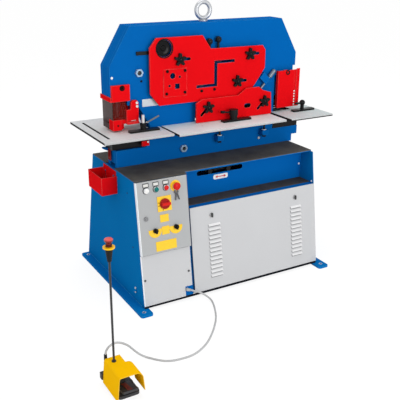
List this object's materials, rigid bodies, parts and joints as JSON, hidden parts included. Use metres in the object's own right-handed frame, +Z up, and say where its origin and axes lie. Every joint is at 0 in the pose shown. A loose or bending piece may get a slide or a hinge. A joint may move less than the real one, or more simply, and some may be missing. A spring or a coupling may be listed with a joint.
{
  "type": "hydraulic ironworker machine",
  "caption": "Hydraulic ironworker with a punch, angle, bar and flat shears and a notcher on a floor cabinet, with sliding guards, tables, stops and a corded foot switch.",
  "frame": {"origin": "on the floor, at the centre of the four anchor holes in the foot rails", "axes": "+X to the operator's right, +Y to the back, +Z up"},
  "size_m": [1.746, 1.469, 1.5467],
  "materials": {
    "blue_paint": "smooth semi-gloss enamel",
    "red_paint": "smooth semi-gloss enamel",
    "grey_paint": "fine textured enamel",
    "yellow_paint": "smooth enamel",
    "bright_steel": "ground",
    "galvanised_steel": "zinc plated",
    "chromed_rod": "polished",
    "tool_steel": "blackened",
    "mat_rubber": "fine ribbed, matt",
    "cord_rubber": "smooth",
    "black_plastic": "moulded",
    "gear_plastic": "moulded",
    "yellow_plastic": "moulded",
    "red_plastic": "moulded",
    "green_plastic": "moulded",
    "smoked_glass": "smoked clear sheet"
  },
  "bodies": {
    "machine": {"base_frame": "blue_paint", "side_panels": "blue_paint", "rear_panel": "blue_paint", "top_plate": "blue_paint", "recess_sheet": "blue_paint", "control_gear": "gear_plastic", "lower_panel": "grey_paint", "louvre_panel": "grey_paint", "rubber_mats": "mat_rubber", "front_plate": "blue_paint", "rear_plate": "blue_paint", "frame_cap": "blue_paint", "frame_pins": "bright_steel", "lifting_eye": "galvanised_steel", "fixed_tooling": "tool_steel", "punch_brackets": "red_paint", "punch_guard": "smoked_glass", "left_table": "bright_steel", "middle_table": "bright_steel", "right_table": "bright_steel", "frame_brackets": "blue_paint", "black_fittings": "tool_steel", "notcher_guard": "red_paint", "power_unit": "grey_paint", "foot_base": "black_plastic", "foot_cover": "yellow_paint", "foot_pole": "black_plastic", "cord_glands": "black_plastic", "foot_cord": "cord_rubber"},
    "beam": {"beam": "blue_paint", "moving_blades": "bright_steel"},
    "punch_ram": {"punch_ram": "tool_steel"},
    "cylinder_barrel": {"cylinder_barrel": "tool_steel"},
    "cylinder_rod": {"cylinder_rod": "chromed_rod"},
    "control_door": {"control_door": "grey_paint", "door_fittings": "yellow_plastic"},
    "green_button": {"green_button": "green_plastic"},
    "red_button": {"red_button": "red_plastic"},
    "door_stop_button": {"door_stop_button": "red_plastic"},
    "main_switch": {"main_switch": "red_plastic"},
    "left_selector": {"left_selector": "black_plastic"},
    "right_selector": {"right_selector": "black_plastic"},
    "door_lock": {"door_lock": "bright_steel"},
    "upper_guard": {"upper_guard": "red_paint"},
    "lower_guard": {"lower_guard": "red_paint"},
    "knob_upper_left": {"knob_upper_left": "black_plastic"},
    "knob_upper_right": {"knob_upper_right": "black_plastic"},
    "knob_upper_low": {"knob_upper_low": "black_plastic"},
    "knob_lower_left": {"knob_lower_left": "black_plastic"},
    "knob_lower_right": {"knob_lower_right": "black_plastic"},
    "left_stop": {"left_stop": "tool_steel"},
    "middle_stop": {"middle_stop": "tool_steel"},
    "right_stop": {"right_stop": "tool_steel"},
    "hold_down_spindle": {"hold_down_spindle": "bright_steel"},
    "slug_bin": {"slug_bin": "red_paint"},
    "stroke_stop": {"stroke_stop": "tool_steel"},
    "foot_pedal": {"foot_pedal": "black_plastic"},
    "foot_button": {"foot_button": "red_plastic"},
    "left_latch": {"left_latch": "bright_steel"},
    "right_latch": {"right_latch": "bright_steel"}
  },
  "joints": [
    {"name": "beam_rock", "type": "hinge", "parent": "machine", "child": "beam", "pos_m": [-0.282, 0.026, 1.315], "axis": [0, 1, 0], "range_deg": [-5, 5]},
    {"name": "ram_slide", "type": "slide", "parent": "machine", "child": "punch_ram", "axis": [0, 0, 1], "range_m": [-0.0225, 0.0225]},
    {"name": "barrel_swing", "type": "hinge", "parent": "machine", "child": "cylinder_barrel", "pos_m": [0.425, 0.026, 0.11], "axis": [0, 1, 0], "range_deg": [-2.2, 2.2]},
    {"name": "rod_slide", "type": "slide", "parent": "cylinder_barrel", "child": "cylinder_rod", "axis": [0, 0, 1], "range_m": [-0.065, 0.065]},
    {"name": "door_hinge", "type": "hinge", "parent": "machine", "child": "control_door", "pos_m": [-0.281, -0.32572, 0.49963], "axis": [0, 0.142, 0.9899], "range_deg": [0, 110]},
    {"name": "green_press", "type": "slide", "parent": "control_door", "child": "green_button", "axis": [0, 0.9899, -0.142], "range_m": [0, 0.003], "stiffness_N_per_m": 600, "springref_m": -0.001},
    {"name": "red_press", "type": "slide", "parent": "control_door", "child": "red_button", "axis": [0, 0.9899, -0.142], "range_m": [0, 0.003], "stiffness_N_per_m": 600, "springref_m": -0.001},
    {"name": "door_stop_press", "type": "slide", "parent": "control_door", "child": "door_stop_button", "axis": [0, 0.9899, -0.142], "range_m": [0, 0.003], "stiffness_N_per_m": 600, "springref_m": -0.001},
    {"name": "main_switch_turn", "type": "hinge", "parent": "control_door", "child": "main_switch", "pos_m": [-0.423, -0.32778, 0.56626], "axis": [0, -0.9899, 0.142], "range_deg": [-90, 0]},
    {"name": "left_selector_turn", "type": "hinge", "parent": "control_door", "child": "left_selector", "pos_m": [-0.487, -0.34206, 0.43155], "axis": [0, -0.9899, 0.142], "range_deg": [-45, 45]},
    {"name": "right_selector_turn", "type": "hinge", "parent": "control_door", "child": "right_selector", "pos_m": [-0.366, -0.34206, 0.43155], "axis": [0, -0.9899, 0.142], "range_deg": [-45, 45]},
    {"name": "door_lock_turn", "type": "hinge", "parent": "control_door", "child": "door_lock", "pos_m": [-0.534, -0.32904, 0.50112], "axis": [0, -0.9899, 0.142], "range_deg": [0, 90]},
    {"name": "upper_guard_slide", "type": "slide", "parent": "machine", "child": "upper_guard", "axis": [-1, 0, 0], "range_m": [0, 0.06]},
    {"name": "lower_guard_slide", "type": "slide", "parent": "machine", "child": "lower_guard", "axis": [0.7071, 0, 0.7071], "range_m": [0, 0.045]},
    {"name": "knob_upper_left_turn", "type": "hinge", "parent": "machine", "child": "knob_upper_left", "pos_m": [-0.193, -0.062, 1.252], "axis": [0, -1, 0], "range_deg": [-180, 180]},
    {"name": "knob_upper_right_turn", "type": "hinge", "parent": "machine", "child": "knob_upper_right", "pos_m": [0.253, -0.062, 1.252], "axis": [0, -1, 0], "range_deg": [-180, 180]},
    {"name": "knob_upper_low_turn", "type": "hinge", "parent": "machine", "child": "knob_upper_low", "pos_m": [0.172, -0.062, 1.106], "axis": [0, -1, 0], "range_deg": [-180, 180]},
    {"name": "knob_lower_left_turn", "type": "hinge", "parent": "machine", "child": "knob_lower_left", "pos_m": [-0.025, -0.079, 0.98], "axis": [0, -1, 0], "range_deg": [-180, 180]},
    {"name": "knob_lower_right_turn", "type": "hinge", "parent": "machine", "child": "knob_lower_right", "pos_m": [0.352, -0.079, 0.978], "axis": [0, -1, 0], "range_deg": [-180, 180]},
    {"name": "left_stop_slide", "type": "slide", "parent": "machine", "child": "left_stop", "axis": [1, 0, 0], "range_m": [-0.025, 0.025]},
    {"name": "middle_stop_slide", "type": "slide", "parent": "machine", "child": "middle_stop", "axis": [1, 0, 0], "range_m": [-0.02, 0.04]},
    {"name": "right_stop_slide", "type": "slide", "parent": "machine", "child": "right_stop", "axis": [1, 0, 0], "range_m": [-0.03, 0.02]},
    {"name": "spindle_turn", "type": "hinge", "parent": "machine", "child": "hold_down_spindle", "pos_m": [0.345, -0.046, 1.04], "axis": [0.682, 0, 0.7314], "range_deg": [-180, 180]},
    {"name": "bin_lift", "type": "slide", "parent": "machine", "child": "slug_bin", "axis": [0, 0, 1], "range_m": [0, 0.06]},
    {"name": "stroke_stop_slide", "type": "slide", "parent": "machine", "child": "stroke_stop", "axis": [1, 0, 0], "range_m": [-0.06, 0.06]},
    {"name": "pedal_press", "type": "hinge", "parent": "machine", "child": "foot_pedal", "pos_m": [-0.952, -0.932, 0.022], "axis": [1, 0, 0], "range_deg": [0, 8], "stiffness_Nm_per_rad": 2, "springref_deg": -5.73},
    {"name": "foot_stop_press", "type": "slide", "parent": "machine", "child": "foot_button", "axis": [0, 0, -1], "range_m": [0, 0.004], "stiffness_N_per_m": 900, "springref_m": -0.001},
    {"name": "left_latch_turn", "type": "hinge", "parent": "machine", "child": "left_latch", "pos_m": [-0.137, -0.32279, 0.44614], "axis": [0, -0.9899, 0.142], "range_deg": [0, 90]},
    {"name": "right_latch_turn", "type": "hinge", "parent": "machine", "child": "right_latch", "pos_m": [0.43, -0.32279, 0.44614], "axis": [0, -0.9899, 0.142], "range_deg": [0, 90]}
  ],
  "couplings": [
    {"joint": "ram_slide", "follows": "beam_rock", "m_per_rad": 0.246},
    {"joint": "barrel_swing", "follows": "beam_rock", "ratio": -0.3771},
    {"joint": "rod_slide", "follows": "beam_rock", "m_per_rad": -0.707}
  ]
}
